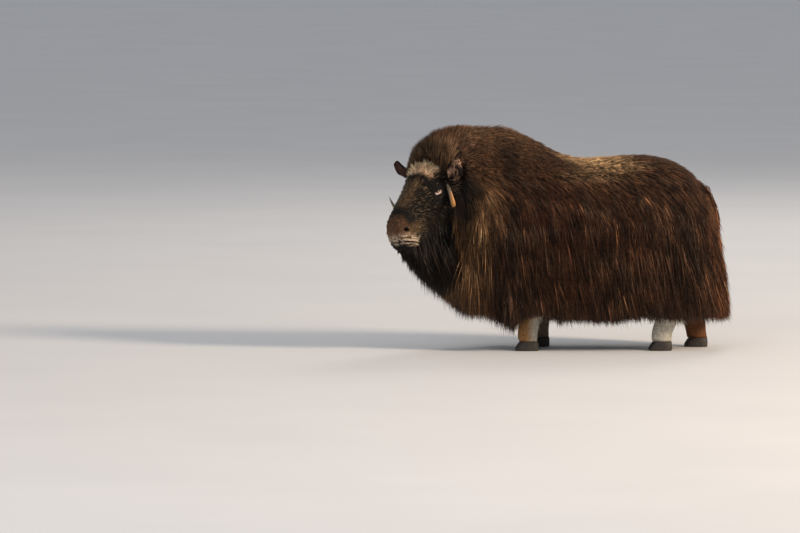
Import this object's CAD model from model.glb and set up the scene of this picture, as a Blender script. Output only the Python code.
"""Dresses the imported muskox: a skin, a coat of mesh tufts, eyes, horns and hooves, on a plain pale floor."""

import math

import bmesh
import bpy
import numpy as np
from mathutils import Matrix, Vector
from mathutils.bvhtree import BVHTree


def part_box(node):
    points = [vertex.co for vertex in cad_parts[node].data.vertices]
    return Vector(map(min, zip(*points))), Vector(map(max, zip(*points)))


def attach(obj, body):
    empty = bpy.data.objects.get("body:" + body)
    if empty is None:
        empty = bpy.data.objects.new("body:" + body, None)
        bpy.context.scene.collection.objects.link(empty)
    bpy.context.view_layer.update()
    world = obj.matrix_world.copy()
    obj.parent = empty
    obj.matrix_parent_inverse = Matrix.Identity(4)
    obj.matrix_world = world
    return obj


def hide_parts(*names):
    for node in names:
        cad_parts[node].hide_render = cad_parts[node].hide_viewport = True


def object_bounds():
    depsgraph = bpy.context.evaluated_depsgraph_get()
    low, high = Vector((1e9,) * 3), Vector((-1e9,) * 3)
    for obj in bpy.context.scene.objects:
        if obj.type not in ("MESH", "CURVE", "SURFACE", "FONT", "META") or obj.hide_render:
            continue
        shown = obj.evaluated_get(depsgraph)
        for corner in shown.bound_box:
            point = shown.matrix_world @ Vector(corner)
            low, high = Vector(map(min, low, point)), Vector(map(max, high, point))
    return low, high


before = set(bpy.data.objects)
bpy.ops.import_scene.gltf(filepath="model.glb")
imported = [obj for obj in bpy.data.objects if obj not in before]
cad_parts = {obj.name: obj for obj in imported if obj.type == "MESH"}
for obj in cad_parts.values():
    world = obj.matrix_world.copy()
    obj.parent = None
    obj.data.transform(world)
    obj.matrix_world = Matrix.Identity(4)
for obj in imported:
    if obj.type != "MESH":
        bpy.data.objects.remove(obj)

bl_info = {
    "name": "Muskox dresser",
    "version": (1, 0, 0),
    "blender": (4, 5, 0),
    "location": "View3D > Sidebar > Muskox",
    "description": "Builds the skin, coat, eyes, horns and hooves of a life-size muskox",
    "category": "Object",
}

CAD_BOX = [list(corner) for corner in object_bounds()]

# The animal's plan, in metres, with its left side towards -Y and its head towards -X. Each slice of neck and
# torso has its foot (x, z), its crest (x, z), half its width, the share of its height where it is widest, and
# the coat's depth at the crest and at the side.
PART_X = -0.28
NECK_SLICES = (
    (PART_X, 0.36, PART_X, 1.278, 0.325, 0.42, 0.09, 0.08),
    (-0.36, 0.37, -0.44, 1.285, 0.315, 0.45, 0.10, 0.08),
    (-0.40, 0.40, -0.60, 1.278, 0.285, 0.50, 0.10, 0.08),
    (-0.42, 0.43, -0.735, 1.215, 0.235, 0.55, 0.10, 0.08),
    (-0.43, 0.46, -0.800, 1.090, 0.185, 0.60, 0.09, 0.08),
    (-0.43, 0.48, -0.780, 0.93, 0.170, 0.60, 0.08, 0.07),
    (-0.43, 0.49, -0.745, 0.78, 0.170, 0.55, 0.10, 0.07),
    (-0.42, 0.49, -0.69, 0.64, 0.165, 0.50, 0.10, 0.07),
    (-0.41, 0.485, -0.60, 0.535, 0.15, 0.50, 0.10, 0.07),
)
TORSO_SLICES = (
    (PART_X, 0.36, PART_X, 1.275, 0.325, 0.42, 0.09, 0.08),
    (-0.15, 0.36, -0.15, 1.222, 0.335, 0.40, 0.08, 0.09),
    (0.00, 0.36, -0.01, 1.135, 0.345, 0.40, 0.06, 0.09),
    (0.14, 0.36, 0.14, 1.095, 0.35, 0.42, 0.04, 0.09),
    (0.29, 0.36, 0.31, 1.105, 0.35, 0.42, 0.04, 0.09),
    (0.42, 0.36, 0.47, 1.118, 0.352, 0.42, 0.05, 0.09),
    (0.47, 0.36, 0.62, 1.098, 0.348, 0.45, 0.06, 0.09),
    (0.49, 0.365, 0.76, 1.022, 0.338, 0.50, 0.07, 0.09),
    (0.50, 0.37, 0.865, 0.87, 0.32, 0.50, 0.08, 0.08),
    (0.50, 0.37, 0.925, 0.68, 0.30, 0.50, 0.08, 0.08),
    (0.50, 0.37, 0.955, 0.50, 0.285, 0.50, 0.08, 0.08),
    (0.50, 0.365, 0.965, 0.37, 0.27, 0.50, 0.08, 0.08),
)
# A slice of the throat: place along the body, bottom, top and half width.
THROAT_SLICES = (
    (PART_X + 0.02, 0.115, 0.60, 0.320),
    (-0.37, 0.120, 0.62, 0.305),
    (-0.46, 0.150, 0.64, 0.275),
    (-0.55, 0.180, 0.66, 0.235),
    (-0.62, 0.245, 0.68, 0.185),
    (-0.67, 0.320, 0.66, 0.120),
)
HEM = 0.155
SKIRT_TOP = 0.46
SKIRT_SIDE = 0.35
SKIRT_ROUND_X = 0.45
SKIRT_REAR_X = 0.975
SKIRT_THICK = 0.036
TOP_POWER = 1.95
FOOT_POWER = 5.0
BEND_X = -0.30
BEND_ANGLE = math.radians(32)
BEND_LENGTH = 0.55
CORE = 0.5  # how much of the coat's depth lies inside the skin

HEAD_AT = Vector((-0.774, -0.150, 0.891))
HEAD_TURN = math.radians(47)
HEAD_NOD = math.radians(20)
HEAD_ROLL = math.radians(7)
NOSE = 0.325
# A slice of the head, in the head's own frame: forward, top, bottom, half width, the share of its height
# where it is widest, and how round it is.
HEAD_SLICES = (
    (-0.165, 0.090, -0.150, 0.090, 0.55, 0.90),
    (-0.150, 0.115, -0.185, 0.112, 0.55, 0.90),
    (-0.110, 0.143, -0.212, 0.126, 0.58, 0.90),
    (-0.050, 0.145, -0.225, 0.131, 0.60, 0.90),
    (0.000, 0.124, -0.230, 0.125, 0.60, 0.88),
    (0.060, 0.088, -0.234, 0.110, 0.56, 0.86),
    (0.120, 0.054, -0.238, 0.099, 0.52, 0.82),
    (0.180, 0.022, -0.244, 0.094, 0.48, 0.76),
    (0.235, -0.008, -0.246, 0.090, 0.47, 0.72),
    (0.280, -0.036, -0.238, 0.080, 0.47, 0.72),
    (0.310, -0.066, -0.216, 0.062, 0.49, 0.76),
    (NOSE, -0.100, -0.180, 0.032, 0.50, 0.85),
)
EYE_AT = Vector((-0.004, 0.1085, 0.004))
EYE_RADIUS = 0.0215
MOUTH_CORNER = 0.212
MOUTH_LOW = -0.231
MOUTH_FRONT = -0.166
NOSTRIL_AT = Vector((0.281, 0.073, -0.106))
HORN_PATH = (
    (-0.076, 0.030, 0.118),
    (-0.083, 0.078, 0.102),
    (-0.079, 0.120, 0.048),
    (-0.060, 0.152, -0.008),
    (-0.030, 0.178, -0.058),
    (0.000, 0.205, -0.084),
    (0.016, 0.229, -0.072),
    (0.023, 0.243, -0.035),
    (0.024, 0.250, 0.012),
)
HORN_RADII = (0.033, 0.032, 0.027, 0.0225, 0.0195, 0.0175, 0.0150, 0.0105, 0.0015)
EAR_PATH = (
    (-0.108, 0.112, -0.020),
    (-0.094, 0.160, 0.010),
    (-0.088, 0.205, 0.058),
    (-0.096, 0.232, 0.095),
    (-0.102, 0.250, 0.126),
)
# How much higher than that path each ear's root and tip are carried, on the left (1) and on the right (-1).
EAR_LIFT = {1: (0.035, 0.012), -1: (0.105, 0.040)}
EAR_WIDTH = 0.096
FEET = {
    "foreleg_left": ((-0.175, -0.165), (-0.150, -0.160)),
    "foreleg_right": ((-0.105, 0.165), (-0.120, 0.160)),
    "hindleg_left": ((0.585, -0.150), (0.665, -0.150)),
    "hindleg_right": ((0.800, 0.122), (0.710, 0.135)),
}
HOOF_TOP = 0.052
HOOF_LENGTH = 0.132
HOOF_AHEAD = 0.010  # how far the hoof's middle lies before the leg's
TOE_WIDTH = 0.060
TOE_SPLIT = 0.004
# A ring of a toe: its level, its shares of the hoof's length and width, and how far back it sits.
TOE_RINGS = (
    (0.0, 1.0, 1.0, 0.0),
    (0.014, 0.99, 1.0, 0.002),
    (0.034, 0.90, 0.97, 0.008),
    (HOOF_TOP, 0.78, 0.90, 0.014),
)
TAIL_PATH = (
    (0.800, 0.0, 0.930),
    (0.850, 0.0, 0.870),
    (0.885, 0.0, 0.800),
    (0.907, 0.0, 0.735),
    (0.918, 0.0, 0.690),
)
BODY_VOXEL = 0.013
HEAD_VOXEL = 0.0036
# The levels that the tips of the long hair reach along the body, at the hem and on top.
HEM_LINE = (
    (-0.960, 0.640),
    (-0.936, 0.585),
    (-0.909, 0.543),
    (-0.853, 0.460),
    (-0.770, 0.363),
    (-0.659, 0.266),
    (-0.549, 0.185),
    (-0.440, 0.175),
    (-0.340, 0.115),
    (-0.268, 0.090),
    (-0.235, 0.165),
    (-0.160, 0.200),
    (-0.070, 0.180),
    (0.000, 0.130),
    (0.034, 0.165),
    (0.171, 0.150),
    (0.311, 0.150),
    (0.449, 0.170),
    (0.700, 0.160),
    (0.960, 0.155),
)
TOP_LINE = (
    (-0.960, 0.800),
    (-0.875, 1.030),
    (-0.860, 1.095),
    (-0.846, 1.149),
    (-0.797, 1.196),
    (-0.714, 1.250),
    (-0.617, 1.275),
    (-0.520, 1.275),
    (-0.383, 1.292),
    (-0.299, 1.278),
    (-0.189, 1.243),
    (-0.105, 1.201),
    (-0.035, 1.153),
    (0.034, 1.113),
    (0.117, 1.093),
    (0.200, 1.093),
    (0.283, 1.106),
    (0.366, 1.119),
    (0.477, 1.119),
    (0.587, 1.105),
    (0.698, 1.063),
    (0.782, 1.008),
    (0.851, 0.905),
    (0.891, 0.779),
    (0.934, 0.613),
    (0.962, 0.420),
    (0.975, 0.281),
    (0.992, 0.000),
)

FLESH = (
    "torso",
    "neck",
    "head",
    "tail",
    "skirt_left",
    "skirt_right",
    "skirt_rear_left",
    "skirt_rear_right",
    "foreleg_left",
    "foreleg_right",
    "hindleg_left",
    "hindleg_right",
    "ear_left",
    "ear_right",
)

# The photo's frame: pixels to a metre, the pixel over the plan's origin at floor level, and its size.
PHOTO_SCALE = 175.0
PHOTO_ORIGIN = (558.5, 348.0)
PHOTO_SIZE = (800, 533)


def linear(text):
    """A linear colour from sRGB hex."""
    values = [int(text[i : i + 2], 16) / 255 for i in (1, 3, 5)]
    return tuple(v / 12.92 if v <= 0.04045 else ((v + 0.055) / 1.055) ** 2.4 for v in values)


def colour_of(text):
    """The same colour as an array, to blend at many points."""
    return np.array(linear(text))


# Shapes of the plan.


def catmull(rows, t):
    """The row at a fractional index, on a smooth curve through all the rows."""
    last = len(rows) - 1
    i = min(int(t), last - 1)
    u = t - i
    a, b, c, d = (rows[max(0, min(last, i + k))] for k in (-1, 0, 1, 2))
    return tuple(
        0.5 * (2 * q + (r - p) * u + (2 * p - 5 * q + 4 * r - s) * u**2 + (3 * q - p - 3 * r + s) * u**3)
        for p, q, r, s in zip(a, b, c, d)
    )


def power(value, exponent):
    return math.copysign(abs(value) ** exponent, value)


def body_point(slices, t, angle, share):
    """A point of the coat: share 0 is its tips. The angle is 0 at the crest and pi at the foot."""
    foot_x, foot_z, crest_x, crest_z, width, widest, crest_coat, side_coat = catmull(slices, t)
    foot = Vector((foot_x, 0.0, foot_z))
    up = Vector((crest_x, 0.0, crest_z)) - foot
    height = up.length
    up.normalize()
    crest_share = (height - share * crest_coat) / height
    width -= share * side_coat
    c, s = math.cos(angle), math.sin(angle)
    if c >= 0:
        rise = widest + (1 - widest) * power(c, 2 / TOP_POWER)
        out = power(s, 2 / TOP_POWER)
    else:
        rise = widest - widest * power(-c, 2 / FOOT_POWER)
        out = power(s, 2 / FOOT_POWER)
    point = foot + up * (rise * crest_share * height)
    point.y = -out * width
    return point


def bend(point):
    """Turns the straight neck to the animal's left."""
    ahead = BEND_X - point.x
    if ahead <= 0:
        return point.copy()
    rate = BEND_ANGLE / BEND_LENGTH
    turn = rate * ahead
    left = -point.y
    return Vector(
        (
            BEND_X - math.sin(turn) / rate + left * math.sin(turn),
            -(1 - math.cos(turn)) / rate - left * math.cos(turn),
            point.z,
        )
    )


def head_matrix():
    """Carries a point (forward, left, up) of the head's own frame into the plan."""
    heading = Vector((-math.cos(HEAD_TURN), -math.sin(HEAD_TURN), 0.0))
    left = Vector((math.sin(HEAD_TURN), -math.cos(HEAD_TURN), 0.0))
    forward = heading * math.cos(HEAD_NOD) - Vector((0, 0, 1)) * math.sin(HEAD_NOD)
    up = heading * math.sin(HEAD_NOD) + Vector((0, 0, 1)) * math.cos(HEAD_NOD)
    rolled_left = left * math.cos(HEAD_ROLL) + up * math.sin(HEAD_ROLL)
    rolled_up = up * math.cos(HEAD_ROLL) - left * math.sin(HEAD_ROLL)
    return Matrix.Translation(HEAD_AT) @ Matrix((forward, rolled_left, rolled_up)).transposed().to_4x4()


HEAD = head_matrix()
EYE_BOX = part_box("eye_left")
SHIFT = (Vector(EYE_BOX[0]) + Vector(EYE_BOX[1])) / 2 - HEAD @ EYE_AT
SHIFT.z = 0.0


def head_point(forward, angle, grow=0.0):
    """A point of the head's skin in its own frame. The angle is 0 on top and turns to the left side."""
    where = [row[0] for row in HEAD_SLICES]
    i = max(k for k in range(len(where) - 1) if where[k] <= forward or k == 0)
    t = i + (forward - where[i]) / (where[i + 1] - where[i])
    _, top, bottom, width, widest, round_by = catmull(HEAD_SLICES, min(t, len(where) - 1))
    top += grow
    bottom -= grow
    width += grow
    middle = bottom + (top - bottom) * widest
    c, s = math.cos(angle), math.sin(angle)
    reach = (top - middle) if c >= 0 else (middle - bottom)
    return Vector((forward, power(s, round_by) * width, middle + power(c, round_by) * reach))


def on_head(forward, up, side):
    """The point of the head's skin at this distance forward and up, on the left (1) or right (-1)."""
    low, high = 0.0, math.pi
    for _ in range(24):
        middle = (low + high) / 2
        if head_point(forward, middle).z > up:
            low = middle
        else:
            high = middle
    found = head_point(forward, low)
    found.y *= side
    return found


# Mesh helpers.


def solid_from(name, bm):
    """An object from a closed mesh, with its faces turned outwards."""
    bmesh.ops.recalc_face_normals(bm, faces=bm.faces)
    mesh = bpy.data.meshes.new(name)
    bm.to_mesh(mesh)
    bm.free()
    made = bpy.data.objects.new(name, mesh)
    bpy.context.scene.collection.objects.link(made)
    return made


def loft(name, rings):
    """A closed skin over rings that all hold the same number of points."""
    bm = bmesh.new()
    rows = [[bm.verts.new(p) for p in ring] for ring in rings]
    count = len(rings[0])
    for near, far in zip(rows, rows[1:]):
        for k in range(count):
            bm.faces.new((near[k], near[(k + 1) % count], far[(k + 1) % count], far[k]))
    for row in (rows[0], rows[-1]):
        middle = bm.verts.new(sum((v.co for v in row), Vector()) / count)
        for k in range(count):
            bm.faces.new((row[k], row[(k + 1) % count], middle))
    return solid_from(name, bm)


def ellipsoid(name, centre, radii, segments=24, rings=16):
    bm = bmesh.new()
    bmesh.ops.create_uvsphere(bm, u_segments=segments, v_segments=rings, radius=1.0)
    bmesh.ops.scale(bm, vec=radii, verts=bm.verts)
    bmesh.ops.translate(bm, vec=centre, verts=bm.verts)
    return solid_from(name, bm)


def tube(name, path, radii, sides, flat=1.0):
    """A tapering tube along a path, whose rings keep square to it."""
    points = [Vector(p) for p in path]
    rings = []
    guide = Vector((0.0, 0.0, 1.0))
    for i, point in enumerate(points):
        ahead = (points[min(i + 1, len(points) - 1)] - points[max(i - 1, 0)]).normalized()
        side = ahead.cross(guide)
        if side.length < 1e-3:
            side = ahead.cross(Vector((1.0, 0.0, 0.0)))
        side.normalize()
        guide = side.cross(ahead)
        ring = []
        for k in range(sides):
            a = math.tau * k / sides
            ring.append(point + side * (math.cos(a) * radii[i]) + guide * (math.sin(a) * radii[i] * flat))
        rings.append(ring)
    return loft(name, rings)


def smooth_rows(rows, steps):
    return [catmull(rows, (len(rows) - 1) * i / steps) for i in range(steps + 1)]


def only(target):
    """Makes this the one selected and active object."""
    bpy.ops.object.select_all(action="DESELECT")
    target.select_set(True)
    bpy.context.view_layer.objects.active = target
    return target


def joined(name, pieces):
    """Joins objects into one, under this name."""
    bpy.ops.object.select_all(action="DESELECT")
    for piece in pieces:
        piece.select_set(True)
    bpy.context.view_layer.objects.active = pieces[0]
    bpy.ops.object.join()
    pieces[0].name = name
    pieces[0].data.name = name
    return pieces[0]


def with_modifier(target, kind, **settings):
    """Adds a modifier with these settings and applies it."""
    only(target)
    modifier = target.modifiers.new("work", kind)
    for key, value in settings.items():
        setattr(modifier, key, value)
    bpy.ops.object.modifier_apply(modifier=modifier.name)
    return target


def boolean(target, operation, other):
    with_modifier(target, "BOOLEAN", operation=operation, solver="MANIFOLD", object=other)
    bpy.data.objects.remove(other)
    return target


def carried(target, matrix):
    target.data.transform(matrix)
    return target


def smooth_shaded(target):
    target.data.polygons.foreach_set("use_smooth", [True] * len(target.data.polygons))
    return target


# The skin.


def body_loft(name, slices, steps, around, share, turned=False):
    rings = []
    for i in range(steps + 1):
        t = (len(slices) - 1) * i / steps
        ring = [body_point(slices, t, math.tau * (k + 0.5) / around, share) for k in range(around)]
        rings.append([bend(p) for p in ring] if turned else ring)
    return loft(name, rings)


def throat_loft(name, share, around=40):
    rings = []
    for i in range(25):
        x, bottom, top, width = catmull(THROAT_SLICES, (len(THROAT_SLICES) - 1) * i / 24)
        bottom += share * 0.30
        width -= share * 0.08
        middle, half = (bottom + top) / 2, (top - bottom) / 2
        ring = []
        for k in range(around):
            a = math.tau * (k + 0.5) / around
            ring.append(
                bend(Vector((x, -power(math.sin(a), 0.8) * width, middle + power(math.cos(a), 0.8) * half)))
            )
        rings.append(ring)
    return loft(name, rings)


def skirt_loft(name, share):
    """The wall of dense hair inside the skirt, round the flanks and the rump."""
    plan = [(x, -SKIRT_SIDE) for x in (PART_X - 0.02, -0.18, -0.08, 0.02, 0.12, 0.22, 0.32, 0.40)]
    round_by = SKIRT_REAR_X - SKIRT_ROUND_X
    for i in range(17):
        a = math.pi / 2 * (1 - i / 8)
        plan.append((SKIRT_ROUND_X + round_by * math.cos(a), -SKIRT_SIDE * math.sin(a)))
    plan += [(x, -y) for x, y in plan[7::-1]]
    inset = share * 0.09
    hem = HEM + share * 0.24
    thick = SKIRT_THICK * (1 - share / 2)
    middle = 0.365
    flat = []
    for x, y in plan:
        if x > SKIRT_ROUND_X:
            x = middle + (x - middle) * (1 - inset / (SKIRT_REAR_X - middle))
        flat.append((x, y * (1 - inset / SKIRT_SIDE)))
    rings = []
    for i, (x, y) in enumerate(flat):
        before, after = flat[max(0, i - 1)], flat[min(len(flat) - 1, i + 1)]
        out = Vector((after[1] - before[1], before[0] - after[0], 0.0)).normalized()
        wall = (
            (0.020, SKIRT_TOP),
            (0.000, 0.39),
            (0.000, hem),
            (thick * 0.7, hem + 0.008),
            (thick, 0.34),
            (thick + 0.01, SKIRT_TOP - 0.02),
        )
        rings.append([Vector((x, y, z)) - out * inward for inward, z in wall])
    return loft(name, rings)


def leg_rows(name):
    """Rings of a leg: level, how far up the way its middle is, shift to the rear, half length, half width."""
    back = -0.02 if name.startswith("hind") and FEET[name][0][0] > FEET[name][1][0] else 0.0
    if name.startswith("hind"):
        return (
            (HOOF_TOP - 0.006, 0.00, 0.000, 0.060, 0.050),
            (0.090, 0.05, -0.004, 0.060, 0.047),
            (0.140, 0.20, 0.000, 0.066, 0.048),
            (0.210, 0.45, 0.008 + back, 0.070, 0.047),
            (0.300, 0.75, 0.020 + back, 0.078, 0.052),
            (0.380, 1.00, 0.020, 0.090, 0.060),
            (0.480, 1.00, 0.010, 0.095, 0.065),
        )
    return (
        (HOOF_TOP - 0.006, 0.00, 0.000, 0.058, 0.050),
        (0.090, 0.00, -0.004, 0.058, 0.047),
        (0.140, 0.10, 0.000, 0.061, 0.049),
        (0.210, 0.30, 0.000, 0.058, 0.046),
        (0.290, 0.60, 0.000, 0.066, 0.052),
        (0.380, 0.90, 0.005, 0.076, 0.060),
        (0.480, 1.00, 0.010, 0.086, 0.070),
    )


def leg_loft(name):
    foot, top = FEET[name]
    rings = []
    for z, share, back, long, wide in smooth_rows(leg_rows(name), 24):
        x = foot[0] + (top[0] - foot[0]) * share + back
        y = foot[1] + (top[1] - foot[1]) * share
        ring = []
        for k in range(28):
            a = math.tau * k / 28
            ring.append(Vector((x + math.cos(a) * long, y + math.sin(a) * wide, z)))
        rings.append(ring)
    return loft(name, rings)


def ring_round(centre, out, wide, tall, first, last, count):
    """Points on an ellipse round a centre, square to the outward direction."""
    out = out.normalized()
    up = (Vector((0.0, 0.0, 1.0)) - out * out.z).normalized()
    across = up.cross(out)
    points = []
    for i in range(count):
        a = first + (last - first) * i / (count - 1)
        points.append(centre + across * (wide * math.cos(a)) + up * (tall * math.sin(a)))
    return points


def mouth_path(steps=14):
    path = []
    for i in range(steps + 1):
        share = i / steps
        forward = MOUTH_CORNER + (NOSE - 0.012 - MOUTH_CORNER) * share
        path.append(on_head(forward, MOUTH_LOW + (MOUTH_FRONT - MOUTH_LOW) * share**0.8, 1))
    front = Vector((NOSE + 0.001, 0.0, MOUTH_FRONT + 0.002))
    return path + [front] + [Vector((p.x, -p.y, p.z)) for p in reversed(path)]


def ear_path(side):
    """The middle line of an ear in the head's frame: the left is side 1."""
    low, high = EAR_LIFT[side]
    last = len(EAR_PATH) - 1
    return [(f, y * side, up + low + (high - low) * i / last) for i, (f, y, up) in enumerate(EAR_PATH)]


# Places along an ear and its share of the full width there, for the ear and for the cup inside it.
EAR_SHELL = (
    (0.0, 0.36), (0.14, 0.42), (0.30, 0.58),
    (0.44, 0.86), (0.58, 1.0), (0.72, 0.95), (0.86, 0.66), (1.0, 0.06),
)
EAR_CUP = ((0.30, 0.15), (0.40, 0.62), (0.54, 0.86), (0.68, 0.88), (0.81, 0.72), (0.93, 0.14))


def ear_rings(side, hollow=False):
    """Rings of the leaf-shaped ear, or of the cup that is cut out of its front."""
    line = ear_path(side)
    rings = []
    for along, wide in smooth_rows(EAR_CUP if hollow else EAR_SHELL, 24):
        t = along * (len(line) - 1)
        centre = Vector(catmull(line, t))
        ahead = (Vector(catmull(line, t + 0.05)) - Vector(catmull(line, t - 0.05))).normalized()
        front = Vector((1.0, 0.15 * side, -0.1))
        front = (front - ahead * front.dot(ahead)).normalized()
        across = ahead.cross(front)
        half = EAR_WIDTH / 2 * wide
        thick = 0.018 * (1 - 0.5 * along)
        if hollow:
            centre = centre + front * 0.012
            thick = 0.0165
        ring = []
        for k in range(28):
            a = math.tau * k / 28
            ring.append(centre + across * (math.cos(a) * half) + front * (math.sin(a) * thick))
        rings.append(ring)
    return rings


def lids(eye, out):
    """The upper and the lower lid, as arcs that taper to the corners of the eye."""
    made = []
    for rise, thick in ((1, 0.0072), (-1, 0.0056)):
        arc = ring_round(eye + out.normalized() * 0.0165, out, 0.0190, 0.0125 * rise, 0.0, math.pi, 15)
        arc = [p - out.normalized() * (0.006 * abs(i - 7) / 7) for i, p in enumerate(arc)]
        radii = [0.0032 + (thick - 0.0032) * math.sin(math.pi * i / 14) for i in range(15)]
        made.append(tube("lid", arc, radii, 12))
    return made


def nostril_rim(nostril, out):
    """The raised wing round the top and the rear of a nostril."""
    rim = ring_round(nostril - out.normalized() * 0.002, out, 0.017, 0.0125, -2.0, 3.4, 20)
    radii = [0.0060 + 0.0026 * math.sin(math.pi * i / 19) for i in range(20)]
    return tube("rim", rim, radii, 12)


def nostril_hole(nostril, out, side):
    hole = ellipsoid("hole", (0, 0, 0), (0.025, 0.0165, 0.0105))
    slant = Matrix.Rotation(math.radians(-25 * side), 4, "X")
    facing = out.to_track_quat("X", "Z").to_matrix().to_4x4()
    return carried(hole, Matrix.Translation(nostril) @ facing @ slant)


def lips_and_slit():
    """Two lips that swell towards the front of the mouth, and the slit between them."""
    mouth = mouth_path()
    count = len(mouth)
    swell = [math.sin(math.pi * (i + 0.6) / (count + 0.2)) for i in range(count)]
    inward = [Vector((-0.004, -math.copysign(0.004, p.y) if p.y else 0.0, 0.0)) for p in mouth]
    upper = [p + q + Vector((0.0, 0.0, 0.0105)) for p, q in zip(mouth, inward)]
    lower = [p + q - Vector((0.002, 0.0, 0.0095)) for p, q in zip(mouth, inward)]
    lips = [
        tube("upper_lip", upper, [0.005 + 0.005 * t for t in swell], 12),
        tube("lower_lip", lower, [0.004 + 0.006 * t for t in swell], 12),
    ]
    return lips, tube("slit", mouth, [0.0016 + 0.0034 * t for t in swell], 12)


def head_solid():
    """The head with orbits, lids, nostrils, lips and ears, in its own frame."""
    rings = []
    steps = 90
    for i in range(steps + 1):
        forward = HEAD_SLICES[0][0] + (NOSE - HEAD_SLICES[0][0]) * (i / steps)
        rings.append([head_point(forward, math.tau * (k + 0.5) / 72) for k in range(72)])
    pieces = [loft("head", rings)]
    cutters = []
    for side in (1, -1):
        eye = Vector((EYE_AT.x, EYE_AT.y * side, EYE_AT.z))
        pieces.append(ellipsoid("orbit", (EYE_AT.x - 0.002, 0.092 * side, EYE_AT.z), (0.049, 0.032, 0.043)))
        pieces.append(ellipsoid("brow", (-0.022, 0.084 * side, 0.048), (0.057, 0.033, 0.031)))
        pieces += lids(eye, Vector((0.30, side, 0.0)))
        nostril = Vector((NOSTRIL_AT.x, NOSTRIL_AT.y * side, NOSTRIL_AT.z))
        out = Vector((0.80, 0.60 * side, 0.05))
        pieces.append(nostril_rim(nostril, out))
        cutters.append(nostril_hole(nostril, out, side))
        cutters.append(ellipsoid("socket", tuple(eye), (EYE_RADIUS + 0.0004,) * 3, 40, 24))
        pieces.append(loft("ear", ear_rings(side)))
        cutters.append(loft("cup", ear_rings(side, True)))
    lips, slit = lips_and_slit()
    head = joined("head_skin", pieces + lips)
    with_modifier(head, "REMESH", mode="VOXEL", voxel_size=HEAD_VOXEL)
    with_modifier(head, "SMOOTH", factor=0.5, iterations=4)
    for cutter in cutters + [slit]:
        boolean(head, "DIFFERENCE", cutter)
    return carried(head, HEAD)


def skin_solid():
    """The whole animal's skin as one closed surface."""
    dock = [0.030 - 0.012 * i / 12 for i in range(13)]
    pieces = [
        body_loft("torso_skin", TORSO_SLICES, 50, 56, CORE),
        body_loft("neck_skin", NECK_SLICES, 40, 56, CORE, True),
        throat_loft("throat_skin", 0.62),
        skirt_loft("skirt_skin", CORE),
        tube("tail_skin", smooth_rows(TAIL_PATH[:4], 12), dock, 16, 0.9),
    ]
    pieces += [leg_loft(name) for name in FEET]
    body = joined("skin", pieces)
    with_modifier(body, "REMESH", mode="VOXEL", voxel_size=BODY_VOXEL)
    with_modifier(body, "SMOOTH", factor=0.5, iterations=6)
    boolean(body, "UNION", head_solid())
    return body


# The coat's field: how far any point stands off the skin, and which way is out.


class Field:
    """Signed distance to a closed mesh and the way out of it, sampled on a grid."""

    def __init__(self, tree, low, high, step):
        self.low, self.step = np.array(low), step
        self.count = [int(math.ceil((h - l) / step)) + 1 for l, h in zip(low, high)]
        nx, ny, nz = self.count
        values = np.empty((nx, ny, nz, 4), dtype=np.float32)
        for i in range(nx):
            x = low[0] + i * step
            for j in range(ny):
                y = low[1] + j * step
                column = []
                for k in range(nz):
                    p = Vector((x, y, low[2] + k * step))
                    near, face, _, distance = tree.find_nearest(p)
                    away = p - near
                    side = 1.0 if away.dot(face) >= 0 else -1.0
                    out = away * (side / distance) if distance > 1e-4 else face
                    column.append((distance * side, out.x, out.y, out.z))
                values[i, j] = column
        self.values = values

    def at(self, points):
        """Distances and outward directions at many points."""
        where = (points - self.low) / self.step
        top = np.array(self.count) - 1.001
        where = np.clip(where, 0.0, top)
        cell = where.astype(int)
        share = where - cell
        total = 0.0
        for corner in np.ndindex(2, 2, 2):
            weight = np.where(corner, share, 1 - share).prod(axis=1)
            i, j, k = (cell + corner).T
            total = total + weight[:, None] * self.values[i, j, k]
        return total[:, 0], unit(total[:, 1:])


def unit(vectors):
    return vectors / np.maximum(np.linalg.norm(vectors, axis=1, keepdims=True), 1e-9)


def ease(values, low, high):
    """0 below low, 1 above high and smooth between."""
    share = np.clip((values - low) / (high - low), 0.0, 1.0)
    return share * share * (3 - 2 * share)


def mix(a, b, share):
    return a * (1 - share) + b * share


def blend(a, b, share):
    """Colours or vectors mixed by a share for each row."""
    share = np.asarray(share)
    return mix(a, b, share[:, None] if share.ndim == 1 else share)


def mirrored(vector, side):
    """One vector for each point, whose middle number takes the sign of the point's own side."""
    both = np.ones(len(side))
    return np.array(vector) * np.stack((both, np.sign(side), both), axis=1)


HEAD_TURNED = np.array(HEAD)[:3, :3]
HEAD_INVERSE = np.array(HEAD.inverted())
HEAD_ROWS = np.array(HEAD_SLICES)


def in_head(points):
    """The points in the head's own frame: forward, left, up."""
    return points @ HEAD_INVERSE[:3, :3].T + HEAD_INVERSE[:3, 3]


def out_of_head(vectors):
    """Directions of the head's frame, turned into the plan."""
    return unit(vectors @ HEAD_TURNED.T)


def head_row(f, column):
    """A column of the head's slices at places forward of its middle."""
    return np.interp(f, HEAD_ROWS[:, 0], HEAD_ROWS[:, column])


def head_room(local):
    """How far points of the head's frame lie outside its box at their place: below 0 they are within it."""
    f, left, up = local.T
    over = np.maximum(up - head_row(f, 1), head_row(f, 2) - up)
    ends = np.maximum(-0.165 - f, f - NOSE)
    return np.maximum(np.maximum(over, np.abs(left) - head_row(f, 3)), ends)


def gap_to(local, place):
    """Distance of points in the head's frame from a place or from its mirror image, on their own side."""
    return np.linalg.norm(local - mirrored(place, local[:, 1]), axis=1)


def eye_gap(local):
    return gap_to(local, EYE_AT)


def mouth_gap(local):
    """Distance of points in the head's frame from the line of the mouth."""
    lips = np.array([tuple(p) for p in mouth_path()])
    return np.linalg.norm(local[:, None, :] - lips[None, :, :], axis=2).min(axis=1)


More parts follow.
